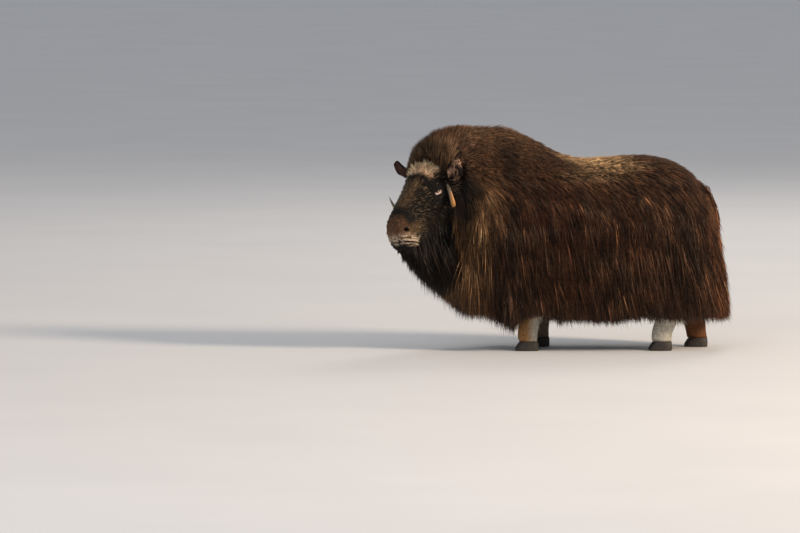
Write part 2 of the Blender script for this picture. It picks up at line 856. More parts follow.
def ear_along(local):
    """How far along an ear points lie, from 0 at its root to 1, and their distance from its middle line."""
    along, away = np.zeros(len(local)), np.full(len(local), 9.0)
    for side in (1, -1):
        gaps = np.linalg.norm(local[:, None, :] - np.array(smooth_rows(ear_path(side), 24))[None], axis=2)
        nearer = gaps.min(axis=1) < away
        along = np.where(nearer, gaps.argmin(axis=1) / 24, along)
        away = np.minimum(away, gaps.min(axis=1))
    return along, away


def level_at(line, x):
    """The level of an outline over places along the body."""
    xs, levels = np.array(line).T
    return np.interp(x, xs, levels)


LOWEST_TIP = 0.03
TRIM = 0.86  # how much of a tuft one cut leaves


def trimmed(path, loose, draw):
    """Shortens the tufts that pass the coat's ragged outline, and tells which still do."""
    count = len(path)
    root = path[:, 0]
    ragged = 0.5 + 0.5 * np.sin(root[:, 0] * 83.0 + root[:, 1] * 59.0 + 2.0 * np.sin(root[:, 0] * 29.0))
    over = loose * draw.random(count)
    front = ease(-root[:, 0], 0.25, 0.45)
    under = (0.030 + 0.045 * front) * ragged + (0.040 + 0.050 * front) * draw.random(count) ** 3
    under -= 0.012 + 0.025 * front
    behind = 0.026 * draw.random(count) ** 2
    room = np.array(CAD_BOX[1]) * 1.02 + 0.008 - np.abs(np.array(SHIFT))
    for _ in range(6):
        tip = path[:, -1]
        beyond = tip[:, 2] > level_at(TOP_LINE, tip[:, 0] - behind) + over
        beyond |= tip[:, 2] < np.maximum(level_at(HEM_LINE, tip[:, 0]) - under, LOWEST_TIP)
        beyond |= (np.abs(tip[:, 1]) > room[1]) | (np.abs(tip[:, 0]) > room[0])
        path[beyond] = root[beyond][:, None] + (path[beyond] - root[beyond][:, None]) * TRIM
    return ~beyond


def clumps(roots, size):
    """Which clump of the coat each root belongs to, and the middle of its cell."""
    cell = np.floor(roots / size).astype(int)
    key = cell[:, 0] * 73856093 ^ cell[:, 1] * 19349663 ^ cell[:, 2] * 83492791
    _, index = np.unique(key, return_inverse=True)
    return index, (cell + 0.5) * size


# Regions of the coat.

EAR, FACE, LEG, TAIL, INSIDE, LONG = range(6)


def regions(points, normals):
    """Which kind of coat grows at each point of the skin."""
    local = in_head(points)
    found = np.full(len(points), LONG)
    inner = (points[:, 2] < 0.47) & (points[:, 0] > PART_X - 0.05)
    middle = np.where(points[:, 0] > 0.45, 0.45, points[:, 0])
    outward = np.stack((points[:, 0] - middle, points[:, 1], np.zeros(len(points))), axis=1)
    inner &= (unit(outward) * normals).sum(axis=1) < 0.35
    found[inner] = INSIDE
    for foot, top in FEET.values():
        share = np.clip((points[:, 2] - 0.05) / 0.33, 0.0, 1.0)
        x = foot[0] + (top[0] - foot[0]) * share
        y = foot[1] + (top[1] - foot[1]) * share
        near = np.hypot(points[:, 0] - x, (points[:, 1] - y) * 1.3) < 0.105
        found[near & (points[:, 2] < 0.40)] = LEG
    tail = np.array(TAIL_PATH)
    away = np.linalg.norm(points[:, None, :] - tail[None, :, :], axis=2).min(axis=1)
    found[(away < 0.045) & (points[:, 0] > 0.87)] = TAIL
    on_face = (head_room(local) < 0.012) & (local[:, 0] > -0.125)
    found[on_face] = FACE
    _, ear = ear_along(local)
    found[(ear < 0.048) & (np.abs(local[:, 1]) > 0.135)] = EAR
    return found


# Markings: one function of place that colours both the skin and the coat's roots.

COAT_BROWN = "#3c2719"
COAT_RED = "#3f2414"
COAT_DARK = "#0f0906"
SADDLE_BUFF = "#a08462"
RUMP_RUST = "#6b4227"
MANE_TAN = "#6f5236"
FACE_DARK = "#130f0c"
FOREHEAD_CREAM = "#ffd0a6"
BRIDGE_TAN = "#84694a"
NOSE_ORANGE = "#8d6448"
MUZZLE_CREAM = "#ffe3c4"
LID_PINK = "#ffe2d6"
FORELEG_TAN = "#cf9a62"
FORELEG_FAR = "#6b4a30"
HINDLEG_CREAM = "#fbf3e2"
HINDLEG_RUST = "#8f5c38"
EAR_DARK = "#1c120d"
EAR_CREAM = "#ffc9a6"
EAR_FAR = "#5c362c"
EAR_SHADE = "#1e110d"
SHOULDER_BROWN = "#2a1208"
LIGHT_LOCK = "#6f5c4a"
FACE_STREAK = "#85705a"
POLL_DARK = "#1d130c"
POLL_TAN = "#6a5038"
BEARD_DARK = "#170e08"
CHEEK_DARK = "#211a15"
CHEEK_TAN = "#5c4a3a"
BELLY_DARK = "#1a100b"
EAR_HOLLOW = Vector((-0.10, 0.17, 0.0))


def painted(colour, *layers):
    """A colour with others over it: each layer has its sRGB hex and its share at every point."""
    for text, share in layers:
        colour = blend(colour, colour_of(text), share)
    return colour


def body_colour(points, local):
    """Brown flanks, buff saddle, rust rump, tan mane, nearly black throat, beard and hollow below the ear."""
    x, y, z = points.T
    wave = 0.5 + 0.5 * np.sin(x * 9.0 + 2.1 * np.sin(z * 7.0)) * np.cos(z * 6.0 + x * 4.0 + y * 3.0)
    wobble = x + 0.06 * np.sin(y * 21.0 + z * 13.0) + 0.02 * np.sin(y * 57.0)
    shoulder = np.hypot(x + 0.08, (z - 0.88) * 1.2)
    valley = np.abs(x + 0.30 + 0.10 * (z - 0.8))
    return painted(
        np.tile(colour_of(COAT_BROWN), (len(points), 1)),
        (COAT_RED, 0.60 * wave * ease(z, 0.30, 0.55) * ease(-z, -1.12, -0.95)),
        (SADDLE_BUFF, 0.95 * ease(z, 0.95, 1.08) * ease(-np.abs(wobble - 0.18), -0.27, -0.05)),
        (RUMP_RUST, 0.85 * ease(x, 0.74, 0.92)),
        (SHOULDER_BROWN, 0.65 * ease(-shoulder, -0.26, -0.08)),
        (MANE_TAN, 0.35 * ease(z, 1.10, 1.24) * ease(-x, 0.05, 0.30)),
        (COAT_DARK, 0.70 * ease(-x, 0.68, 0.79) * ease(z, 0.98, 1.08)),
        (MANE_TAN, 0.75 * ease(-x, 0.34, 0.46) * ease(z, 0.42, 0.62) * ease(-z, -1.1, -0.9)),
        (COAT_DARK, 0.88 * ease(-x, 0.26, 0.42) * ease(-z, -0.55, -0.30)),
        (COAT_DARK, 0.94 * ease(-x, 0.60, 0.76) * ease(-z, -0.68, -0.54)),
        (COAT_DARK, 0.60 * ease(-valley, -0.060, -0.010) * ease(-z, -1.22, -1.10)),
        (COAT_DARK, 0.35 * ease(-z, -0.55, -0.25) * ease(x, -0.25, -0.10)),
        (COAT_DARK, 0.92 * ease(-gap_to(local, EAR_HOLLOW), -0.125, -0.06)),
    )


def face_colour(local):
    """Nearly black, with cream forehead, tan bridge, rusty nose, mottled cream lips and pink lower lids."""
    f, left, up = local.T
    side = np.abs(left)
    patch = ease(-np.abs(f + 0.040), -0.052, -0.036) * ease(-side, -0.108, -0.080) * ease(up, 0.05, 0.10)
    bridge = ease(f, 0.02, 0.06) * ease(-f, -0.24, -0.18) * ease(-side, -0.075, -0.02)
    bridge *= ease(up - head_row(f, 1), -0.055, -0.015)
    frost = ease(f, 0.16, 0.22) * ease(-up, 0.070, 0.110) * ease(up, -0.165, -0.140)
    mottle = 0.5 + 0.5 * np.sin(f * 260 + 3 * np.sin(up * 170)) * np.sin(left * 230 + up * 90)
    nose = ease(f, 0.245, 0.290) * ease(up, -0.158, -0.135)
    mouth = mouth_gap(local)
    lip = np.interp(f, (MOUTH_CORNER, NOSE), (MOUTH_LOW, MOUTH_FRONT))
    muzzle = ease(f, 0.175, 0.265) * ease(-mouth / np.where(up > lip, 0.062, 0.034), -1.0, -0.35)
    patches = 0.5 + 0.5 * np.sin(f * 120 + 2 * np.sin(left * 95)) * np.sin(up * 140 + left * 60)
    bright = ease(-mouth, -0.022, -0.012) * (up > lip)
    cream = np.maximum((0.25 + 0.70 * mottle) * ease(patches, 0.15, 0.55), 0.9 * bright)
    eye = eye_gap(local)
    return painted(
        np.tile(colour_of(FACE_DARK), (len(local), 1)),
        (BRIDGE_TAN, 0.60 * bridge),
        (FOREHEAD_CREAM, patch),
        (BRIDGE_TAN, 0.55 * frost),
        (NOSE_ORANGE, (0.35 + 0.50 * mottle) * nose),
        (MUZZLE_CREAM, 0.45 * ease(mottle, 0.70, 0.95) * nose * ease(-up, 0.10, 0.13)),
        (MUZZLE_CREAM, cream * muzzle),
        (COAT_DARK, 0.9 * ease(-up, 0.212, 0.236) * ease(-f, -0.300, -0.255)),
        (COAT_DARK, 0.95 * ease(-mouth, -0.009, -0.005)),
        (COAT_DARK, 0.95 * ease(-gap_to(local, NOSTRIL_AT), -0.019, -0.012)),
        (COAT_DARK, 0.85 * ease(-eye, -0.085, -0.050) * (1 - patch)),
        (LID_PINK, ease(-eye, -0.029, -0.025) * ease(-up, -0.008, -0.003) * ease(up, -0.011, -0.007)),
    )


def ear_colour(local, along, away):
    """Dark outside and pale within the cup: cream on the near ear, red-brown on the far one."""
    middle = np.interp(along, np.linspace(0, 1, len(EAR_PATH)), [p[0] for p in EAR_PATH])
    inner = ease(local[:, 0] - middle, -0.009, -0.003) * ease(-away, -0.038, -0.028) * ease(along, 0.25, 0.40)
    pale = blend(colour_of(EAR_CREAM), colour_of(EAR_FAR), ease(-local[:, 1], 0.0, 0.01))
    return blend(colour_of(EAR_DARK), pale, inner)


def leg_colours(points):
    """Colours of the fore and the hind legs: tan before cream on the near foreleg, cream and rust behind."""
    x, y, _ = points.T
    far = ease(y, 0.0, 0.02)
    cream = colour_of(HINDLEG_CREAM)
    fore = blend(cream, colour_of(FORELEG_TAN), ease(-(x + 0.16), -0.03, 0.03))
    return painted(fore, (FORELEG_FAR, 0.8 * far)), blend(cream, colour_of(HINDLEG_RUST), far)


def markings(points):
    """The coat's colour over the skin, linear."""
    x, _, z = points.T
    local = in_head(points)
    colour = body_colour(points, local)
    on_face = ease(-head_room(local), -0.018, -0.006) * ease(local[:, 0], -0.15, -0.11)
    colour = blend(colour, face_colour(local), on_face)
    along, away = ear_along(local)
    ears = ease(-away, -0.055, -0.045) * ease(np.abs(local[:, 1]), 0.125, 0.145)
    colour = blend(colour, ear_colour(local, along, away), ears)
    near_leg = np.zeros(len(points))
    for foot, _ in FEET.values():
        near_leg = np.maximum(near_leg, ease(-np.hypot(x - foot[0], points[:, 1] - foot[1]), -0.13, -0.10))
    near_leg *= ease(-z, -0.38, -0.30) * (z < 0.40)
    fore, hind = leg_colours(points)
    colour = blend(colour, fore, near_leg * ((x > PART_X - 0.02) & (x < 0.05)))
    return blend(colour, hind, near_leg * (x > 0.40))


def unwrap(points, area):
    """A cylinder's unwrap: round the head's axis on the head, a leg's own on a leg, else the body's."""
    if area in (FACE, EAR):
        local = in_head(points)
        along = (local[:, 0] + 0.20) / 0.56
        turn = np.arctan2(local[:, 1], local[:, 2] + 0.06)
    elif area == LEG:
        along = points[:, 2] / 0.5
        turn = np.zeros(len(points))
        for i, (foot, _) in enumerate(FEET.values()):
            near = np.hypot(points[:, 0] - foot[0], points[:, 1] - foot[1]) < 0.16
            angle = np.arctan2(points[:, 1] - foot[1], points[:, 0] - foot[0])
            turn = np.where(near, (angle + math.pi) / 4 + math.pi / 2 * i - math.pi, turn)
    else:
        along = (points[:, 0] + 1.0) / 2.0
        turn = np.arctan2(points[:, 1], points[:, 2] - 0.62)
    return np.stack((0.02 + 0.96 * np.clip(along, 0, 1), 0.02 + 0.96 * (turn + math.pi) / math.tau), axis=1)


# Tufts.

RISE_POWER = 0.75  # how soon a tuft rises to its depth
ROOT_SINK = 0.003
SHORTEST = 0.035
STEPS_UP = 2  # the lengths that a tuft bends in
MANE_CENTRE = np.array((-0.60, -0.06, 0.96))


def lie_long(p):
    """The lie of the long coat: down the flanks, rearward on the back, out from the poll on the mane."""
    x, y, z = p.T
    back = mirrored((0.85, 0.15, -0.52), y)
    lie = blend(np.array((0.16, 0.0, -1.0)), back, ease(z, 0.70, 1.08) * ease(-x, -0.80, -0.60))
    lie = blend(lie, np.array((0.05, 0.0, -1.0)), ease(-x, 0.30, 0.50) * ease(-z, -0.95, -0.75))
    radial = unit((p - MANE_CENTRE) * np.array((1.0, 0.6, 1.0))) + np.array((0.35, 0.0, 0.0))
    return unit(blend(lie, radial, ease(-x, 0.44, 0.58) * ease(z, 0.98, 1.10)))


def lie_face(p):
    """Face hair lies back from the nose and down the cheeks, and fans up from the forehead."""
    f, left, up = in_head(p).T
    lie = mirrored((-1.0, 0.35, -0.15), left)
    lie = blend(lie, np.array((-0.45, 0.0, -1.0)), ease(-up, 0.03, 0.12) * ease(-f, -0.24, -0.10))
    lie = blend(lie, mirrored((-0.75, 0.45, -0.05), left), ease(-f, 0.0, 0.03) * ease(up, 0.06, 0.10))
    return out_of_head(blend(lie, np.array((-0.1, 0.0, -1.0)), ease(-up, 0.20, 0.225)))


def lie_poll(p):
    """Behind the horns the hair stands up and fans out over the forehead."""
    left = in_head(p)[:, 1]
    lie = np.stack((0.10 + 0 * left, 0.9 * left / 0.13, 0.85 + 0 * left), axis=1)
    return unit(out_of_head(lie) + np.array((0.0, 0.0, 0.55)))


def lie_beard(p):
    """The beard falls from the jaw and leans back under it."""
    return unit(np.array((0.16, 0.06, -1.0)) + 0 * p)


def lie_down(p):
    """Short hair of the legs and tail, and hair that hangs free, falls and leans a little to the rear."""
    return unit(np.array((0.10, 0.0, -1.0)) + 0 * p)


def lie_ear(p):
    """Hair of the ears lies towards their tips."""
    near, far = (np.array(HEAD @ Vector(ear_path(side)[-1])) for side in (1, -1))
    tip = np.where(in_head(p)[:, 1:2] > 0, near, far)
    return unit(unit(tip - p) + np.array((0.0, -0.1, 0.15)))


def long_sizes(points, draw):
    """Length and depth of the long coat's tufts at their roots."""
    x, y, z = points.T
    length = np.where(z > 1.0, 0.072, 0.10 + 0.16 * ease(-z, -1.05, -0.70))
    saddle = ease(z, 0.93, 1.05) * ease(-np.abs(x - 0.18), -0.30, -0.10)
    length = length * (1 - 0.30 * saddle)
    length = length + 0.075 * (ease(-x, 0.60, 0.74) * ease(z, 0.96, 1.06))
    length = mix(length, 0.34, ease(-z, -0.62, -0.42))
    reach = (z - level_at(HEM_LINE, x)) * draw.uniform(0.86, 1.10, len(x))
    length = np.where(z < 0.75, np.maximum(np.minimum(length * 1.15, reach), SHORTEST), length)
    length = np.minimum(length * draw.uniform(0.80, 1.20, len(x)), np.maximum(reach, SHORTEST))
    depth = mix(0.022 + 0.024 * ease(np.abs(y), 0.05, 0.22), 0.048, ease(-x, 0.20, 0.40))
    depth += 0.012 * ease(x, 0.60, 0.85)
    return length, depth * draw.uniform(0.35, 1.0, len(x))


def grow(field, roots, normals, length, depth, lie, draw, clump, hold=0.70):
    """Paths of many tufts: each leaves the skin, follows the lie, rises to its depth and joins its clump."""
    position = roots - normals * ROOT_SINK
    path, outs = [position], [normals]
    start = lie(position)
    sway = draw.normal(0.0, 0.10, (len(roots), 3))
    for i in range(1, STEPS_UP + 1):
        heading = unit(lie(position) + sway)
        _, out = field.at(position)
        into = (heading * out).sum(axis=1)
        heading = unit(heading - out * np.minimum(into, 0.0)[:, None])
        position = position + heading * (length / STEPS_UP)[:, None]
        distance, out = field.at(position)
        want = depth * (i / STEPS_UP) ** RISE_POWER
        push = np.clip(want - distance, 0.0, 0.05)
        position = position + out * push[:, None]
        path.append(position)
        outs.append(out)
    path = np.stack(path, axis=1)
    outs = np.stack(outs, axis=1)
    if clump:
        index, centre = clumps(roots, clump)
        offset = draw.uniform(-0.4, 0.4, (index.max() + 1, 3))[index] * clump
        pull = centre + offset - roots
        pull -= start * (pull * start).sum(axis=1)[:, None]
        for i in range(1, STEPS_UP + 1):
            path[:, i] += pull * (np.reshape(hold, (-1, 1)) * (i / STEPS_UP) ** 1.3)
    return path, outs


# How much of the unwrap each tuft's own patch takes.
BAKE_PATCH = 0.003


def tuft_mesh(name, path, outs, width, colours, ends, uv):
    """One mesh of three-sided tapering tufts along the paths."""
    count, rows = path.shape[0], path.shape[1] - 1
    ahead = np.empty_like(path)
    ahead[:, 1:-1] = path[:, 2:] - path[:, :-2]
    ahead[:, 0] = path[:, 1] - path[:, 0]
    ahead[:, -1] = path[:, -1] - path[:, -2]
    ahead /= np.maximum(np.linalg.norm(ahead, axis=2, keepdims=True), 1e-9)
    across = np.cross(ahead, outs)
    across /= np.maximum(np.linalg.norm(across, axis=2, keepdims=True), 1e-9)
    out = np.cross(across, ahead)
    share = np.linspace(0.0, 1.0, rows + 1)
    taper = (0.75 + 0.9 * share - 1.6 * share**2)[None, :, None]
    half = width[:, None, None] / 2 * taper
    verts = np.empty((count, rows * 3 + 1, 3))
    for i in range(rows):
        wide, thick = across[:, i] * half[:, i], out[:, i] * half[:, i]
        verts[:, i * 3] = path[:, i] - wide - thick * 0.25
        verts[:, i * 3 + 1] = path[:, i] + thick * 0.55
        verts[:, i * 3 + 2] = path[:, i] + wide - thick * 0.25
    verts[:, -1] = path[:, -1]
    faces = []
    for i in range(rows - 1):
        for k in range(3):
            a, b = i * 3 + k, i * 3 + (k + 1) % 3
            c, d = b + 3, a + 3
            faces += [(a, b, c), (a, c, d)]
    last = (rows - 1) * 3
    for k in range(3):
        faces.append((last + k, last + (k + 1) % 3, rows * 3))
    faces = np.array(faces)[:, ::-1]
    per = rows * 3 + 1
    index = (faces[None] + (np.arange(count) * per)[:, None, None]).reshape(-1)
    mesh = bpy.data.meshes.new(name)
    mesh.vertices.add(count * per)
    mesh.vertices.foreach_set("co", (verts.reshape(-1, 3) + np.array(SHIFT)).ravel().astype(np.float32))
    mesh.loops.add(len(index))
    mesh.loops.foreach_set("vertex_index", index.astype(np.int32))
    mesh.polygons.add(len(index) // 3)
    mesh.polygons.foreach_set("loop_start", np.arange(0, len(index), 3, dtype=np.int32))
    mesh.polygons.foreach_set("use_smooth", np.ones(len(index) // 3, dtype=bool))
    tint = np.empty((count, per, 4), dtype=np.float32)
    tint[..., 3] = 1.0
    for i in range(rows):
        here = ends[:, 0] + (ends[:, 1] - ends[:, 0]) * share[i]
        tint[:, i * 3 : i * 3 + 3, :3] = (colours * here[:, None])[:, None]
    tint[:, -1, :3] = colours * ends[:, 1][:, None]
    attribute = mesh.color_attributes.new(name="hair", type="FLOAT_COLOR", domain="POINT")
    attribute.data.foreach_set("color", np.clip(tint, 0, 1).ravel())
    place = np.empty((count, per, 2))
    for i in range(rows):
        for k in range(3):
            place[:, i * 3 + k] = uv + np.array((k / 2 - 0.5, share[i] - 0.5)) * BAKE_PATCH
    place[:, -1] = uv + np.array((0.0, 0.5 * BAKE_PATCH))
    layer = mesh.uv_layers.new(name="OFBake")
    layer.data.foreach_set("uv", place.reshape(-1, 2)[index].ravel().astype(np.float32))
    mesh.materials.append(SKIN["hair"])
    mesh.update()
    mesh.validate()
    made = bpy.data.objects.new(name, mesh)
    bpy.context.scene.collection.objects.link(made)
    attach(made, "root")


def plant(name, area, roots, path, outs, width, colours, ends, loose, draw):
    """Trims the tufts to the coat's outline and makes one mesh of those that stay within it."""
    kept = trimmed(path, loose, draw)
    uv = unwrap(roots, area)
    tuft_mesh(name, path[kept], outs[kept], width[kept], colours[kept], ends[kept], uv[kept])


class Skin:
    """The finished skin, with what the coat needs to know of it."""

    def __init__(self, target):
        mesh = target.data
        mesh.calc_loop_triangles()
        count = len(mesh.vertices)
        self.verts = np.empty(count * 3)
        mesh.vertices.foreach_get("co", self.verts)
        self.verts = self.verts.reshape(-1, 3)
        self.corners = np.empty(len(mesh.loop_triangles) * 3, dtype=np.int32)
        mesh.loop_triangles.foreach_get("vertices", self.corners)
        self.corners = self.corners.reshape(-1, 3)
        a, b, c = (self.verts[self.corners[:, k]] for k in range(3))
        cross = np.cross(b - a, c - a)
        self.areas = np.linalg.norm(cross, axis=1) / 2
        self.normals = unit(cross)
        self.middles = (a + b + c) / 3
        self.kind = regions(self.middles, self.normals)
        bm = bmesh.new()
        bm.from_mesh(mesh)
        tree = BVHTree.FromBMesh(bm)
        bm.free()
        self.body = Field(tree, (-1.06, -0.52, 0.04), (1.06, 0.52, 1.36), 0.022)
        self.head = Field(tree, (-1.04, -0.44, 0.52), (-0.54, 0.14, 1.16), 0.010)

    def scatter(self, weights, count, draw):
        """Roots on the skin, drawn by area and weight: places and outward directions."""
        chance = self.areas * weights
        picked = draw.choice(len(chance), size=count, p=chance / chance.sum())
        u, v = draw.random(count), draw.random(count)
        fold = u + v > 1
        u, v = np.where(fold, 1 - u, u), np.where(fold, 1 - v, v)
        a, b, c = (self.verts[self.corners[picked, k]] for k in range(3))
        return a + (b - a) * u[:, None] + (c - a) * v[:, None], self.normals[picked]


# What the first steps leave for the later ones: the skin under "skin" and the coat's material under "hair".
SKIN = {}


# Materials.


def add_node(tree, kind, settings=None, **links):
    """Adds a node, sets its properties and inputs, and links given sockets. i6 is the input numbered 6."""
    made = tree.nodes.new(kind)
    for key, value in (settings or {}).items():
        setattr(made, key, value)
    for key, value in links.items():
        numbered = key[0] == "i" and key[1:].isdigit()
        socket = made.inputs[int(key[1:])] if numbered else made.inputs[key.replace("_", " ")]
        if isinstance(value, bpy.types.NodeSocket):
            tree.links.new(value, socket)
        else:
            socket.default_value = value
    return made


def noise(tree, scale, detail):
    where = add_node(tree, "ShaderNodeTexCoord")
    made = add_node(tree, "ShaderNodeTexNoise", Vector=where.outputs["Object"], Scale=scale, Detail=detail)
    return made.outputs[0]


def fitted(tree, value, low, high, start=0.0, end=1.0):
    """Carries a value's range from low to high over to start to end."""
    return add_node(tree, "ShaderNodeMapRange", i0=value, i1=low, i2=high, i3=start, i4=end).outputs[0]


def between(tree, share, first, second):
    """Mixes two colours, given as sRGB hex or as sockets."""
    first, second = ((*linear(c), 1.0) if isinstance(c, str) else c for c in (first, second))
    return add_node(tree, "ShaderNodeMix", {"data_type": "RGBA"}, i0=share, i6=first, i7=second).outputs[2]


def darkened(tree, colour, by):
    settings = {"data_type": "RGBA", "blend_type": "MULTIPLY"}
    return add_node(tree, "ShaderNodeMix", settings, i0=1.0, i6=colour, i7=by).outputs[2]


def attribute(tree, name):
    return add_node(tree, "ShaderNodeAttribute", {"attribute_name": name}).outputs["Fac"]


def new_material(name):
    made = bpy.data.materials.new(name)
    made.use_nodes = True
    return made, made.node_tree, made.node_tree.nodes["Principled BSDF"]


def surface(tree, shader, colour, roughness, height, strength, distance):
    """Links the colour, the roughness and a bump of this height to the shader."""
    tree.links.new(colour, shader.inputs["Base Color"])
    if isinstance(roughness, bpy.types.NodeSocket):
        tree.links.new(roughness, shader.inputs["Roughness"])
    else:
        shader.inputs["Roughness"].default_value = roughness
    bump = add_node(tree, "ShaderNodeBump", Height=height, Strength=strength, Distance=distance)
    tree.links.new(bump.outputs[0], shader.inputs["Normal"])


def guard_hair():
    """Long keratin hair: satin, in the coat's colours with darker and lighter streaks about 17 mm wide."""
    made, tree, shader = new_material("guard_hair")
    tint = add_node(tree, "ShaderNodeVertexColor", {"layer_name": "hair"}).outputs[0]
    streaks = noise(tree, 60.0, 2.0)
    colour = darkened(tree, tint, fitted(tree, streaks, 0.3, 0.7, 0.70, 1.25))
    surface(tree, shader, colour, fitted(tree, streaks, 0.3, 0.7, 0.68, 0.48), streaks, 0.25, 0.001)
    shader.inputs["IOR"].default_value = 1.55
    shader.inputs["Specular IOR Level"].default_value = 0.22
    return made


def hide_and_underwool():
    """Hide under dense underwool: matt, in the same markings as the coat, with a 12 mm felted mottle."""
    made, tree, shader = new_material("hide_and_underwool")
    tint = add_node(tree, "ShaderNodeVertexColor", {"layer_name": "hair"}).outputs[0]
    mottle = noise(tree, 85.0, 4.0)
    colour = darkened(tree, tint, fitted(tree, mottle, 0.3, 0.7, 0.6, 1.1))
    surface(tree, shader, colour, fitted(tree, mottle, 0.3, 0.7, 0.92, 0.74), mottle, 0.5, 0.003)
    shader.inputs["Specular IOR Level"].default_value = 0.25
    return made


HORN_RING_PHASE = 420.0  # in radians, so 67 rings


def horn_keratin(tip, base):
    """Horn: satin keratin with growth rings about 7 mm apart, grey-brown at its base and tan at its tip."""
    made, tree, shader = new_material("horn_keratin")
    along = attribute(tree, "along")
    grain = noise(tree, 160.0, 3.0)
    colour = between(tree, fitted(tree, along, 0.42, 0.60), (*base, 1.0), (*tip, 1.0))
    colour = darkened(tree, colour, fitted(tree, grain, 0.3, 0.7, 0.75, 1.15))
    turns = add_node(tree, "ShaderNodeMath", {"operation": "MULTIPLY"}, i0=along, i1=HORN_RING_PHASE)
    rings = add_node(tree, "ShaderNodeMath", {"operation": "SINE"}, i0=turns.outputs[0])
    surface(tree, shader, colour, fitted(tree, grain, 0.3, 0.7, 0.50, 0.32), rings.outputs[0], 0.25, 0.001)
    shader.inputs["IOR"].default_value = 1.55
    return made


def hoof_keratin():
    """Hoof: worn black keratin, matt, with level growth rings about 8 mm apart and pale scuffs."""
    made, tree, shader = new_material("hoof_keratin")
    wear = noise(tree, 120.0, 5.0)
    colour = between(tree, fitted(tree, wear, 0.45, 0.75), "#1d1916", "#4a3f36")
    where = add_node(tree, "ShaderNodeTexCoord").outputs["Object"]
    level = {"bands_direction": "Z"}
    rings = add_node(tree, "ShaderNodeTexWave", level, Vector=where, Scale=40.0, Distortion=1.0)
    surface(tree, shader, colour, fitted(tree, wear, 0.3, 0.7, 0.45, 0.75), rings.outputs[1], 0.3, 0.0015)
    return made


def eye_glass():
    """The wet eyeball: brown iris with fine fibres, level black pupil, pink-white below, clear gloss."""
    made, tree, shader = new_material("eye_cornea")
    fibres = noise(tree, 900.0, 3.0)
    iris = between(tree, fibres, "#1c0e07", "#5b3419")
    white = between(tree, fibres, "#f0b9a8", "#fff4ee")
    eyeball = between(tree, fitted(tree, attribute(tree, "gaze"), 0.54, 0.62), iris, white)
    colour = between(tree, fitted(tree, attribute(tree, "pupil"), 0.9, 1.1), "#050403", eyeball)
    surface(tree, shader, colour, 0.10, fibres, 0.05, 0.0003)
    shader.inputs["IOR"].default_value = 1.38
    shader.inputs["Coat Weight"].default_value = 1.0
    shader.inputs["Coat Roughness"].default_value = 0.02
    return made


def studio_paper():
    """The floor: matt, pale seamless paper with a hardly visible drift of tone and a fine tooth."""
    made, tree, shader = new_material("seamless_paper")
    colour = between(tree, noise(tree, 0.8, 2.0), "#d9dbdf", "#e3e4e7")
    surface(tree, shader, colour, 0.9, noise(tree, 140.0, 2.0), 0.04, 0.0005)
    return made


# Settings.


class MuskoxCoatSettings(bpy.types.PropertyGroup):
    """Sizes of the coat."""

    mane_tufts: bpy.props.IntProperty(
        name="Mane tufts", description="Tufts on each side of the mane", default=14800, min=1
    )
    flank_tufts: bpy.props.IntProperty(
        name="Flank tufts", description="Tufts in each length of a flank", default=14800, min=1
    )
    face_tufts: bpy.props.IntProperty(
        name="Face tufts", description="Short tufts on the face", default=15000, min=1
    )
    beard_tufts: bpy.props.IntProperty(
        name="Beard tufts", description="Long tufts of the beard", default=9000, min=1
    )
    leg_tufts: bpy.props.IntProperty(
        name="Leg tufts", description="Short tufts on each pair of legs", default=4500, min=1
    )
    ear_tufts: bpy.props.IntProperty(
        name="Ear tufts", description="Tufts on both ears", default=2600, min=1
    )
    strand_width: bpy.props.FloatProperty(
        name="Strand width", description="Width of a long tuft", default=0.0052, unit="LENGTH"
    )
    clump_size: bpy.props.FloatProperty(
        name="Clump size", description="Size of the locks of the long coat", default=0.028, unit="LENGTH"
    )
    seed: bpy.props.IntProperty(name="Seed", description="Seed of every random draw", default=7)


class MuskoxColourSettings(bpy.types.PropertyGroup):
    """Colours of the horns."""

    horn_tip: bpy.props.FloatVectorProperty(
        name="Horn tip", description="Colour of the tips", subtype="COLOR", default=linear("#c98f55")
    )
    horn_base: bpy.props.FloatVectorProperty(
        name="Horn base", description="Colour of the bases", subtype="COLOR", default=linear("#7a6a58")
    )


class MuskoxStageSettings(bpy.types.PropertyGroup):
    """Floor, lights and camera."""

    camera_height: bpy.props.FloatProperty(
        name="Camera elevation",
        description="Angle above the horizon",
        subtype="ANGLE",
        unit="ROTATION",
        default=math.radians(4),
    )
    camera_distance: bpy.props.FloatProperty(
        name="Camera distance", description="From the middle of the view", default=38.0, unit="LENGTH"
    )
    key_power: bpy.props.FloatProperty(
        name="Key light", description="Power of the large light on the right", default=3200.0, unit="POWER"
    )


# Operators.


SKIN_SHADE = 0.55  # how bright the skin is, next to the hair above it


class MUSKOX_OT_skin(bpy.types.Operator):
    """Builds the one skin that stands for all nodes of flesh"""

    bl_idname = "muskox.skin"
    bl_label = "Skin"

    def execute(self, context):
        body = skin_solid()
        skin = Skin(body)
        tint = np.ones((len(skin.verts), 4), dtype=np.float32)
        tint[:, :3] = markings(skin.verts) * SKIN_SHADE
        attribute = body.data.color_attributes.new(name="hair", type="FLOAT_COLOR", domain="POINT")
        attribute.data.foreach_set("color", tint.ravel())
        body.data.materials.clear()
        body.data.materials.append(hide_and_underwool())
        smooth_shaded(body)
        carried(body, Matrix.Translation(SHIFT))
        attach(body, "root")
        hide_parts(*FLESH)
        SKIN["skin"] = skin
        return {"FINISHED"}


FRONT, REAR = -2.0, 2.0
POLL_TUFTS = 3600
CHEEK_TUFTS = 4500
TAIL_TUFTS = 1500
BELLY_TUFTS = 4000
LONG_HAIR = 0.25  # the length from which a tuft has its full width
